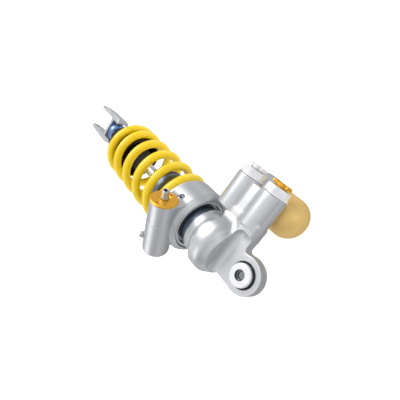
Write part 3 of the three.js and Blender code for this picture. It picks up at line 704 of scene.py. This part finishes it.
def spring_line():
    """The wire's centre line and its direction, from the seat to the perch."""
    near, far = SPRING_TURNS.near, SPRING_TURNS.far
    rise = SPRING.end - SPRING.start - SPRING_TURNS.closed * far
    active = rise / SPRING.pitch
    count = round(SPRING_STEPS_PER_TURN * (near + active + far))
    turn = np.linspace(-near, active + far, count + 1)
    knots = [-near, 0.0, active, active + far]
    heights = [SPRING.start, SPRING.start, SPRING.start + rise, SPRING.end]
    blend = 0.08
    along = np.mean([np.interp(turn + blend * k, knots, heights) for k in np.linspace(-1, 1, 9)], 0)
    angle = math.radians(SPRING.phase) + 2 * math.pi * turn
    line = np.stack([along, SPRING.radius * np.cos(angle), SPRING.radius * np.sin(angle)], 1)
    direction = np.gradient(line, axis=0)
    return line, direction / np.linalg.norm(direction, axis=1, keepdims=True), turn


def coil_spring():
    """The wire swept along its helix. Its ends are ground flat where they rest on seat and perch."""
    line, direction, turn = spring_line()
    low, high = corners("coil_spring")
    outward = line * (0, 1, 1) / SPRING.radius
    sideways = np.cross(direction, outward)
    around = np.arange(SPRING_SIDES) * 2 * math.pi / SPRING_SIDES
    rings = []
    wire = np.full(len(line), SPRING.wire)
    wire[0] = wire[-1] = SPRING.wire - 0.7
    for i in range(len(line)):
        section = np.outer(np.cos(around), outward[i]) + np.outer(np.sin(around), sideways[i])
        ring = line[i] + wire[i] * section
        ring[:, 0] = np.clip(ring[:, 0], low[0], high[0])
        rings.append(ring)
    vertices = [point for ring in rings for point in ring]
    faces = swept_faces(len(rings), SPRING_SIDES)
    made = new_object("coil_spring_fine", vertices, faces, smooth_angle=50)
    beside = [abs((k / SPRING_SIDES - MARKS.side + 0.5) % 1.0 - 0.5) for k in range(SPRING_SIDES)]
    mark(made, "wire_place", [(turn[i], beside[k], 0.0) for i in range(len(rings))
                              for k in range(SPRING_SIDES)])
    return made


# --- turned pieces with their own outlines ---

VALVE_CAP = Sizes(flats=22.9, corner=13.2, flange=13.9, neck=12.6, turn=18)
KNOB = Sizes(radius=10.5, neck=7.0, flutes=8, flute=1.5, dot=7.7)
VALVE_BORE = 3.4
SOCKET = Sizes(flats=4.0, corner=2.3)
SPANNER_HOLE = Sizes(radius=1.3, y=10, z=3.4)


def valve_cap(node, valve):
    """A hexagonal valve plug with a flange and a ring groove round the knob."""
    place = VALVES[valve]
    base, top = extent(node, place)
    flat = hexagon(VALVE_CAP.flats, VALVE_CAP.turn)
    return turned(f"{node}_fine", [
        (base, VALVE_BORE, 0.2), (base, VALVE_CAP.flange), (base + 1.4, VALVE_CAP.flange),
        (base + 1.6, VALVE_CAP.neck, 0.2), (base + 2.0, VALVE_CAP.neck, 0.2),
        (base + 2.1, VALVE_CAP.corner, 0.2, flat), (top - 0.9, VALVE_CAP.corner, 0.3, flat),
        (top, 11.6, 0.3, flat), (top, 9.4, 0.2), (top - 0.7, 9.2, 0.2), (top - 0.7, VALVE_BORE)],
        place)


def valve_knob(node, valve):
    """A fluted click adjuster with a hexagonal socket and a dot to count its clicks by."""
    place = VALVES[valve]
    base, top = extent(node, place)
    socket = hexagon(SOCKET.flats)
    rim = fluted(KNOB.flutes, KNOB.flute)
    # The knob's hexagonal socket takes painted shade.
    knob = turned(f"{node}_fine", [
        (base, VALVE_BORE, 0.1), (base, KNOB.neck, 0.3), (base + 1.1, KNOB.neck, 0.2),
        (base + 1.3, KNOB.radius, 0.3, rim), (top - 0.9, KNOB.radius, 0.2, rim),
        (top, KNOB.radius - 1, 0.25, rim), (top, 6.4, 0.25), (top - 0.6, 5.9, 0.25), (top - 0.6, 2.7, 0.25),
        (top - 1.0, SOCKET.corner, 0.1, socket), (top - 1.5, SOCKET.corner, 0.05, socket),
        (top - 1.5, VALVE_BORE, 0.1)], place, edge=0.2, segments=192, hollow=(top - 0.9, 2.6))
    # The dot's cutter is marked all over for painted shade on the walls it leaves.
    dot = turned("dot", [(top - 0.35, 0), (top - 0.35, 0.45), (top + 1, 0.6), (top + 1, 0)],
                 place.beside(KNOB.dot), edge=0.1, segments=24, hollow=ANYWHERE)
    return combine(knob, "DIFFERENCE", dot)


def preload_cap():
    """The gold cap of the preload cylinder, with two holes for a pin spanner."""
    base, top = extent("preload_cap", ADJUSTER)
    flange = top - 2.7
    radius = CYLINDER.radius
    cap = turned("preload_cap_fine", [
        (base, 4.6), (base, 9.4, 0.4), (flange, 9.4, 0.2), (flange, radius - 0.8),
        (flange + 0.7, radius), (top - 0.9, radius), (top, radius - 0.9), (top, 7.6, 0.2),
        (top - 0.5, 7.1, 0.2), (top - 0.5, 5.6, 0.2), (top - 0.2, 5.1, 0.2), (top - 0.2, 4.6, 0.2)],
        ADJUSTER)
    hole = [(top - 2, 0), (top - 2, SPANNER_HOLE.radius), (top - 0.3, SPANNER_HOLE.radius),
            (top + 0.3, SPANNER_HOLE.radius + 0.6), (top + 1, SPANNER_HOLE.radius + 0.6), (top + 1, 0)]
    # The spanner holes' cutters are marked all over for painted shade on the walls they leave.
    holes = [turned("hole", hole, ADJUSTER.beside(SPANNER_HOLE.y * side, SPANNER_HOLE.z * side),
                    edge=0.05, segments=32, hollow=ANYWHERE) for side in (-1, 1)]
    return combine(cap, "DIFFERENCE", *holes)


def preload_screw():
    """The preload adjuster's screw: a thread below, and a socketed hexagon on a cone above the cap."""
    base, top = extent("preload_screw", ADJUSTER)
    cap = extent("preload_cap", ADJUSTER)[1]
    socket = hexagon(SOCKET.flats)
    flange = base + 41.9
    # The screw's hexagonal socket takes painted shade.
    return turned("preload_screw_fine", [
        (base, 0), (base, 3.0, 0.2), (base + 0.7, 3.6, 0.2), (flange, 3.6), (flange, 7.0, 0.4),
        (flange + 1.8, 7.0, 0.4), (flange + 1.8, 4.3), (cap + 0.6, 4.3, 0.1), (cap + 0.6, 4.5, 0.2),
        (cap + 1.6, 4.5, 0.4), (cap + 4.6, 3.8, 1.0), (top - 0.4, 3.8), (top, 3.4, 0.2),
        (top, 2.6, 0.15), (top - 0.3, SOCKET.corner, 0.1, socket), (top - 3.8, SOCKET.corner, 0.1, socket),
        (top - 3.8, 1.9, 0.1), (top - 4.6, 0)], ADJUSTER, hollow=(top - 0.28, 2.5))


def socket_screw(node, place, across, depth, shank=None, dome=0.0):
    """A turned screw with a hexagonal socket in its head. Its head is domed where `dome` says."""
    base, top = extent(node, place)
    low, high = corners(node)
    head = shank.head if shank else round(max(high - low) / 2, 2)
    foot = shank.radius if shank else head
    corner = across / 2 / math.cos(math.pi / 6)
    flat = hexagon(across)
    under = [(shank.under, foot, 0.1), (shank.under, head)] if shank else []
    outline = [(base, 0), (base, foot - 0.4, 0.1), (base + 0.4, foot, 0.1), *under,
               (top - 0.6 - dome, head, 0.3), (top - dome * 0.35, head * 0.8, 0.6),
               (top, corner + 0.7, 0.3), (top, corner + 0.25, 0.1), (top - 0.3, corner, 0.05, flat),
               (top - depth, corner, 0.05, flat), (top - depth, corner * 0.8, 0.1),
               (top - depth - corner * 0.4, 0)]
    # The screw's hexagonal socket takes painted shade.
    return turned(f"{node}_fine", outline, place, edge=0.2, segments=72,
                  hollow=(top - 0.28, corner + 0.1))


def nut(node, place, across, bore):
    """A plain hexagonal nut, chamfered on both faces."""
    base, top = extent(node, place)
    flat = hexagon(across)
    corner = across / 2 / math.cos(math.pi / 6)
    return turned(f"{node}_fine", [
        (base, bore + 0.6, 0.1), (base, across / 2 - 0.3, 0.3, flat), (base + 1.0, corner, 0.4, flat),
        (top - 1.0, corner, 0.4, flat), (top, across / 2 - 0.3, 0.3, flat), (top, bore + 0.6, 0.1),
        (top - 0.6, bore, 0.1), (base + 0.6, bore, 0.1)], place, edge=0.2)


def length_nut():
    """The blue length adjuster: a round shoulder with a hexagon that a spanner turns."""
    base, top = extent("length_nut", SHOCK)
    shoulder = base + 10
    flat = hexagon(19.9)
    bore = THREAD_BORE
    return turned("length_nut_fine", [
        (base, bore + 0.6, 0.1), (base, 12.2, 0.5), (base + 2, 14.2, 1.0), (base + 7, 14.8, 1.0),
        (shoulder - 1.5, 13.8, 0.6), (shoulder, 11.8), (shoulder, 11.4, 0.2),
        (shoulder + 0.4, 11.4, 0.2, flat), (top - 0.8, 11.4, 0.4, flat), (top, 10.2, 0.3, flat),
        (top, bore + 0.6, 0.1), (top - 0.6, bore, 0.1), (base + 0.6, bore, 0.1)], SHOCK)


def reservoir_tube():
    """The gas reservoir: a domed cylinder with a filler hole under it."""
    dome = RESERVOIR_RADIUS - 2
    wall = RESERVOIR_RADIUS - RESERVOIR_INSIDE
    outer = arc(dome, RESERVOIR_RADIUS - dome, dome, 180, 90, 40)
    inner = arc(dome, RESERVOIR_RADIUS - dome, dome - wall, 90, 180, 24)
    outline = [(0, 0), *outer, (RESERVOIR_END - 0.6, RESERVOIR_RADIUS),
               (RESERVOIR_END, RESERVOIR_RADIUS - 0.6), (RESERVOIR_END, RESERVOIR_INSIDE), *inner, (wall, 0)]
    tube = turned("reservoir_tube_fine", [(*point, 0) for point in outline], RESERVOIR, segments=160)
    low, high, radius = RESERVOIR_INSIDE - 4, RESERVOIR_RADIUS + 3, 3.0
    hole = turned("hole", [(low, 0), (low, radius), (high, radius), (high, 0)], GAS_PORT, edge=0.05,
                  segments=32)
    return combine(tube, "DIFFERENCE", hole)


def circlip(node, place):
    """A spring clip for a bore: a flat ring with a gap between two eyelets."""
    start, end = extent(node, place)
    high = corners(node)[1]
    outer, inner, gap = high[0], high[0] - 1.5, math.radians(16)
    eyelet = Sizes(radius=1.25, hole=0.5, ring=outer - 1.6)
    angles = np.linspace(gap, 2 * math.pi - gap, 120)
    vertices = []
    bevel = 0.12
    section = [(start + bevel, outer), (end - bevel, outer), (end, outer - bevel), (end, inner + bevel),
               (end - bevel, inner), (start + bevel, inner), (start, inner + bevel), (start, outer - bevel)]
    for angle in angles:
        vertices.extend(place.at(along, radius * math.cos(angle), radius * math.sin(angle))
                        for along, radius in section)
    faces = [face[::-1] for face in swept_faces(len(angles), len(section))]
    ring = new_object(f"{node}_fine", vertices, faces)
    for sign in (-1, 1):
        angle = sign * gap
        spot = place.beside(eyelet.ring * math.cos(angle), eyelet.ring * math.sin(angle))
        ear = turned("ear", [(start + 0.01, eyelet.hole), (start + 0.01, eyelet.radius),
                             (end - 0.01, eyelet.radius), (end - 0.01, eyelet.hole)], spot,
                     edge=0.1, segments=32)
        combine(ring, "UNION", ear)
    return ring


# --- materials ---

def linear(red, green, blue):
    """A screen colour, 0 to 255, as Blender's linear colour."""
    return tuple((c / 255 / 12.92 if c <= 10 else ((c / 255 + 0.055) / 1.055) ** 2.4)
                 for c in (red, green, blue)) + (1.0,)


class Finish:
    """A material under construction, with short names for the nodes it is wired from."""

    def __init__(self, name, colour, roughness, metallic=0.0, **sockets):
        self.material = bpy.data.materials.new(name)
        self.material.use_nodes = True
        self.tree = self.material.node_tree
        self.shader = self.tree.nodes["Principled BSDF"]
        self.colour = colour
        self.set(**{"Base Color": colour, "Roughness": roughness, "Metallic": metallic}, **sockets)

    def set(self, **values):
        for socket, value in values.items():
            self.shader.inputs[socket.replace("_", " ")].default_value = value

    def add(self, kind, settings=None, **inputs):
        node = self.tree.nodes.new(f"ShaderNode{kind}")
        for key, value in (settings or {}).items():
            setattr(node, key, value)
        for key, value in inputs.items():
            self.feed(node.inputs[key.replace("_", " ")], value)
        return node

    def feed(self, socket, value):
        if isinstance(value, bpy.types.NodeSocket):
            self.tree.links.new(value, socket)
        else:
            socket.default_value = value

    def marked(self, name, output="Fac"):
        """The numbers that a piece's points carry under a name."""
        return self.add("Attribute", {"attribute_name": name}).outputs[output]

    def noise(self, size, detail=2.0):
        """Noise whose grains are about `size` millimetres across."""
        place = self.add("TexCoord").outputs["Object"]
        node = self.add("TexNoise", Scale=1 / (size * MM), Detail=detail, Vector=place)
        return node.outputs["Fac"]

    def profile_noise(self, size, detail=3.0):
        """Noise along a turned piece's outline, which makes rings round it."""
        node = self.add("TexNoise", {"noise_dimensions": "1D"}, Scale=1 / size, Detail=detail,
                        W=self.marked("profile"))
        return node.outputs["Fac"]

    def ranged(self, value, low=0.3, high=0.7, start=0.0, end=1.0):
        node = self.add("MapRange", None, Value=value)
        for key, number in (("From Min", low), ("From Max", high), ("To Min", start), ("To Max", end)):
            node.inputs[key].default_value = number
        return node.outputs["Result"]

    def sums(self, operation, a, b):
        node = self.add("Math", {"operation": operation})
        self.feed(node.inputs[0], a)
        self.feed(node.inputs[1], b)
        return node.outputs[0]

    def mixed(self, factor, a, b):
        node = self.add("Mix", {"data_type": "RGBA"})
        self.feed(node.inputs[0], factor)
        self.feed(node.inputs[6], a)
        self.feed(node.inputs[7], b)
        return node.outputs[2]

    def edges(self, low=0.52, high=0.6):
        """Nearly one along outer edges, from the mesh's own curvature."""
        return self.ranged(self.add("NewGeometry").outputs["Pointiness"], low, high)

    def bump(self, height, depth):
        """A bump `depth` millimetres deep."""
        node = self.add("Bump", None, Strength=1.0, Distance=depth * MM, Height=height)
        self.feed(self.shader.inputs["Normal"], node.outputs["Normal"])

    def clouded(self, size, detail, dark, light, low=0.3, high=0.7):
        """The finish's colour, drifting between two shades of itself."""
        cloud = self.ranged(self.noise(size, detail), low, high)
        return self.mixed(cloud, shade(self.colour, dark), shade(self.colour, light))

    def tint(self, colour):
        self.feed(self.shader.inputs["Base Color"], colour)

    def rough(self, value):
        self.feed(self.shader.inputs["Roughness"], value)


def shade(colour, factor):
    return tuple(min(c * factor, 1.0) for c in colour[:3]) + (1.0,)


def with_painted_hole_shade(look, colour, dark=0.06):
    """A colour with painted shade inside the holes that a piece has marked."""
    return look.mixed(look.marked("hollow"), colour, shade(look.colour, dark))


def blasted(name, colour, roughness, grain=0.35, depth=0.012, metallic=1.0):
    """Bead-blasted anodised aluminium: a fine even grain, cloudy where the bath took unevenly,
    with a painted highlight brightening its edges, which are also smoother."""
    look = Finish(name, colour, roughness, metallic)
    body = look.clouded(28, 3, 0.94, 1.04)
    # Painted highlight: the colour is brightened along the edges. Marked holes take painted shade.
    edge_highlight_and_rub = look.edges()
    look.tint(with_painted_hole_shade(look, look.mixed(edge_highlight_and_rub, body, shade(colour, 1.16))))
    speckle = look.noise(0.5, 3)
    rubbed = look.sums("MULTIPLY", edge_highlight_and_rub, -0.08)
    uneven = look.ranged(speckle, 0.3, 0.7, roughness - 0.05, roughness + 0.05)
    look.rough(look.sums("ADD", uneven, rubbed))
    look.bump(look.noise(grain, 2), depth)
    return look.material


def machined(name, colour, roughness, ring=0.25, depth=0.006, metallic=1.0, **sockets):
    """Metal turned on a lathe: fine rings of unequal depth round its axis."""
    look = Finish(name, colour, roughness, metallic, **sockets)
    rings = look.profile_noise(ring)
    body = look.clouded(9, 2, 0.93, 1.05)
    # Painted highlight: the colour is brightened along the edges. Marked holes take painted shade.
    look.tint(with_painted_hole_shade(look, look.mixed(look.edges(0.54, 0.66), body, shade(colour, 1.18))))
    look.rough(look.ranged(rings, 0.3, 0.7, roughness - 0.07, roughness + 0.07))
    look.bump(rings, depth)
    return look.material


def chrome():
    """Hard chrome with the faint crossed marks of its honing."""
    look = Finish("chrome", linear(232, 234, 238), 0.06, 1.0)
    look.tint(look.clouded(6, 4, 0.94, 1.0, 0.35, 0.65))
    look.rough(look.ranged(look.noise(6, 4), 0.35, 0.65, 0.04, 0.11))
    look.bump(look.profile_noise(0.06, 5), 0.0012)
    return look.material


def moulded(name, colour, roughness, grain, depth):
    """Moulded plastic or rubber, with a fine cast skin and a cloudy, uneven tone."""
    look = Finish(name, colour, roughness)
    skin = look.noise(grain, 4)
    look.tint(look.clouded(14, 3, 0.8, 1.35, 0.35, 0.65))
    look.rough(look.ranged(skin, 0.3, 0.7, roughness - 0.06, roughness + 0.08))
    look.bump(skin, depth)
    return look.material


def powder_coat():
    """Glossy yellow powder coat: an orange-peel skin, and a row of plain black dashes on one coil."""
    colour = linear(255, 218, 0)
    look = Finish("spring_paint", colour, 0.3, 0.0, Coat_Weight=0.7, Coat_Roughness=0.07,
                  Specular_IOR_Level=0.45)
    body = look.clouded(18, 3, 0.96, 1.03)
    body = look.mixed(look.ranged(look.noise(0.7, 3), 0.64, 0.72), body, shade(colour, 0.86))
    split = look.add("SeparateXYZ", None, Vector=look.marked("wire_place", "Vector"))
    turn, side = split.outputs["X"], split.outputs["Y"]
    run = look.ranged(turn, MARKS.start, MARKS.end, 0.0, MARKS.count)
    dash = look.sums("LESS_THAN", look.sums("FRACT", run, 0.0), MARKS.share)
    inside = look.sums("MULTIPLY", look.sums("GREATER_THAN", turn, MARKS.start),
                       look.sums("LESS_THAN", turn, MARKS.end))
    band = look.sums("LESS_THAN", side, MARKS.width)
    printed = look.sums("MULTIPLY", look.sums("MULTIPLY", inside, band), dash)
    look.tint(look.mixed(printed, body, linear(38, 34, 24)))
    look.bump(look.noise(2.2, 2), 0.02)
    return look.material


MATERIALS = {
    "casting": blasted("casting", linear(212, 214, 217), 0.4, metallic=0.9),
    "gold": blasted("gold_anodised", linear(246, 186, 66), 0.34, grain=0.25, depth=0.006, metallic=0.85),
    "pale_gold": blasted("pale_gold_anodised", linear(248, 212, 136), 0.5, metallic=0.7),
    "blue": machined("blue_anodised", linear(128, 158, 212), 0.2),
    "tube": machined("tube_anodised", linear(132, 144, 162), 0.33, ring=0.7, depth=0.015),
    "chrome": chrome(),
    "steel": machined("turned_steel", linear(206, 206, 208), 0.3),
    "silver": machined("turned_aluminium", linear(244, 245, 247), 0.42, metallic=0.45),
    "dark": machined("black_anodised", linear(52, 53, 58), 0.38),
    "yellow": powder_coat(),
    "rubber": moulded("black_rubber", linear(30, 30, 31), 0.72, 0.5, 0.02),
    "plastic": moulded("black_plastic", linear(42, 38, 36), 0.5, 0.35, 0.012),
}


# --- making the pieces ---

BODY_OF = {node: body for body, nodes in frame["record"]["behaviour"]["bodies"].items()
           for node in nodes}
SLOT_OF = {part["node"]: part["material_slot"] for part in frame["record"]["subparts"]}


def adopt(piece, finish=None):
    """A piece stands for the CAD node it is named after, rides on its body and takes its finish."""
    node = piece.name.removesuffix("_fine")
    piece.data.materials.clear()
    piece.data.materials.append(MATERIALS[finish or SLOT_OF[node]])
    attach(piece, BODY_OF[node])
    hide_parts(node)
    return piece


RETURNED = [
    (EYE, 0.3, ["bearing_race", "bearing_ball", "spacer_front", "spacer_rear"]),
    (SHOCK, 0.3, ["damper_tube", "inner_tube", "seal_head", "rod_wiper", "topout_bush", "rod_shim_stack",
                  "piston", "piston_band", "bump_cup", "housing_ring", "spring_seat", "seat_seal",
                  "piston_rod"]),
    (SHOCK, 1.2, ["spring_perch"]),
    (SHOCK, 2.0, ["bump_rubber"]),
    (RESERVOIR, 0.4, ["separating_piston", "separating_piston_seal"]),
    (ADJUSTER, 0.3, ["preload_piston"]),
    (BLEED, 0.2, ["bleed_washer"]),
    (VALVES["compression"], 0.3, ["compression_cartridge", "compression_needle"]),
    (VALVES["rebound"], 0.3, ["rebound_cartridge", "rebound_needle"]),
]
BOLT_HOLE = (math.inf, 5.4)
# The spacers' bolt bores take painted shade.
HOLE_SHADE = dict.fromkeys(["spacer_front", "spacer_rear"], BOLT_HOLE)
SPECIAL_FINISH = dict.fromkeys(["spacer_front", "spacer_rear", "spring_seat", "housing_ring"], "silver")


def build():
    adopt(casting("head_casting", head_field, 0.8))
    adopt(casting("preload_housing", housing_field, 0.8))
    adopt(casting("clevis", clevis_field, 0.6))
    for place, edge, nodes in RETURNED:
        for node in nodes:
            adopt(returned(node, place, edge, hollow=HOLE_SHADE.get(node)), SPECIAL_FINISH.get(node))
    adopt(circlip("circlip_front", EYE))
    adopt(circlip("circlip_rear", Place((0, 0, 0), (0, 0, -1), (1, 0, 0))))
    spring = adopt(coil_spring())
    for valve, finish in (("compression", "silver"), ("rebound", "gold")):
        adopt(valve_cap(f"{valve}_cap", valve), "silver")
        adopt(valve_knob(f"{valve}_knob", valve), finish)
    adopt(preload_cap())
    adopt(preload_screw())
    adopt(socket_screw("preload_set_screw", SET_SCREW, 2.8, 1.6))
    adopt(socket_screw("bleed_screw", BLEED, 2.6, 1.9,
                       shank=Sizes(radius=2.0, under=CYLINDER.radius + 1.6, head=3.4), dome=0.7))
    adopt(socket_screw("gas_fill_screw", GAS_PORT, 2.6, 1.5,
                       shank=Sizes(radius=2.7, under=RESERVOIR_RADIUS + GAP, head=4.2)))
    adopt(nut("piston_nut", SHOCK, 13.8, 4.3))
    adopt(nut("lock_nut", SHOCK, 21.6, THREAD_BORE))
    adopt(length_nut())
    adopt(reservoir_tube(), "pale_gold")
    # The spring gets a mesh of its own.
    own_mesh(spring)


build()


# --- camera, floor and light ---

CAMERA = Sizes(place=(-0.11629, -0.09695, 0.26687), aim=(0.09922, -0.02017, 0.0), roll=69.6, lens=27.96)
AIM = (0.15, 0, 0)
FLOOR_REACH = 6.0
SKY = [(0.0, 0.30), (0.42, 0.20), (0.52, 0.34), (0.68, 0.62), (0.85, 0.86), (1.0, 0.9)]


def add_camera():
    data = bpy.data.cameras.new("camera")
    data.lens = CAMERA.lens
    data.clip_start = 0.01
    data.clip_end = 50
    camera = put_in_scene("camera", data)
    place, aim = Vector(CAMERA.place), Vector(CAMERA.aim)
    ahead = (aim - place).normalized()
    side = ahead.cross(Vector((0, 0, 1))).normalized()
    above = side.cross(ahead)
    roll = math.radians(CAMERA.roll)
    up = above * math.cos(roll) + side * math.sin(roll)
    camera.location = place
    camera.rotation_mode = "QUATERNION"
    right = ahead.cross(up)
    camera.rotation_quaternion = Matrix((right, up, -ahead)).transposed().to_quaternion()
    bpy.context.scene.camera = camera


def add_floor():
    """A wide pale floor under the object's lowest point."""
    around = ((-1, -1), (1, -1), (1, 1), (-1, 1))
    mesh = bpy.data.meshes.new("floor")
    mesh.from_pydata([(x * FLOOR_REACH, y * FLOOR_REACH, CAD_BOX[0].z) for x, y in around],
                     [], [(0, 1, 2, 3)])
    floor = put_in_scene("floor", mesh)
    look = Finish("floor", (0.93, 0.93, 0.93, 1.0), 0.9, Emission_Color=(1, 1, 1, 1),
                  Emission_Strength=0.62)
    mottle = look.ranged(look.noise(60, 3))
    look.tint(look.mixed(mottle, (0.92, 0.92, 0.92, 1), (0.94, 0.94, 0.94, 1)))
    mesh.materials.append(look.material)
    floor.visible_glossy = False


def add_light(name, place, aim, size, power):
    """A soft rectangular light of `power` watts, `size` metres wide and high."""
    data = bpy.data.lights.new(name, "AREA")
    data.shape = "RECTANGLE"
    data.size, data.size_y = size
    data.energy = power
    light = put_in_scene(name, data)
    light.location = place
    light.rotation_mode = "QUATERNION"
    light.rotation_quaternion = (Vector(aim) - Vector(place)).to_track_quat("-Z", "Y")


def add_world():
    """A pale studio: bright overhead, greyer toward the horizon, with a darker band low down."""
    world = bpy.data.worlds.new("studio")
    bpy.context.scene.world = world
    world.use_nodes = True
    nodes, links = world.node_tree.nodes, world.node_tree.links
    kinds = ("TexCoord", "SeparateXYZ", "MapRange", "ValToRGB")
    place, split, height, ramp = [nodes.new(f"ShaderNode{kind}") for kind in kinds]
    background = nodes["Background"]
    background.inputs["Strength"].default_value = 0.85
    height.inputs["From Min"].default_value = -1
    links.new(place.outputs["Generated"], split.inputs[0])
    links.new(split.outputs["Z"], height.inputs["Value"])
    links.new(height.outputs["Result"], ramp.inputs["Fac"])
    links.new(ramp.outputs["Color"], background.inputs["Color"])
    stops = ramp.color_ramp.elements
    for position, value in SKY:
        stop = stops[int(position)] if position in (0.0, 1.0) else stops.new(position)
        stop.color = (value, value, value, 1.0)


bpy.context.scene.view_settings.view_transform = "Standard"
add_camera()
add_floor()
add_world()
add_light("key", (0.75, -0.45, 0.95), AIM, (1.0, 1.0), 8)
add_light("fill", (0.3, 0.95, 0.5), AIM, (0.6, 0.9), 2.0)
add_light("rim", (-0.8, -0.5, 0.4), (0.1, 0, 0), (0.5, 0.6), 0.8)
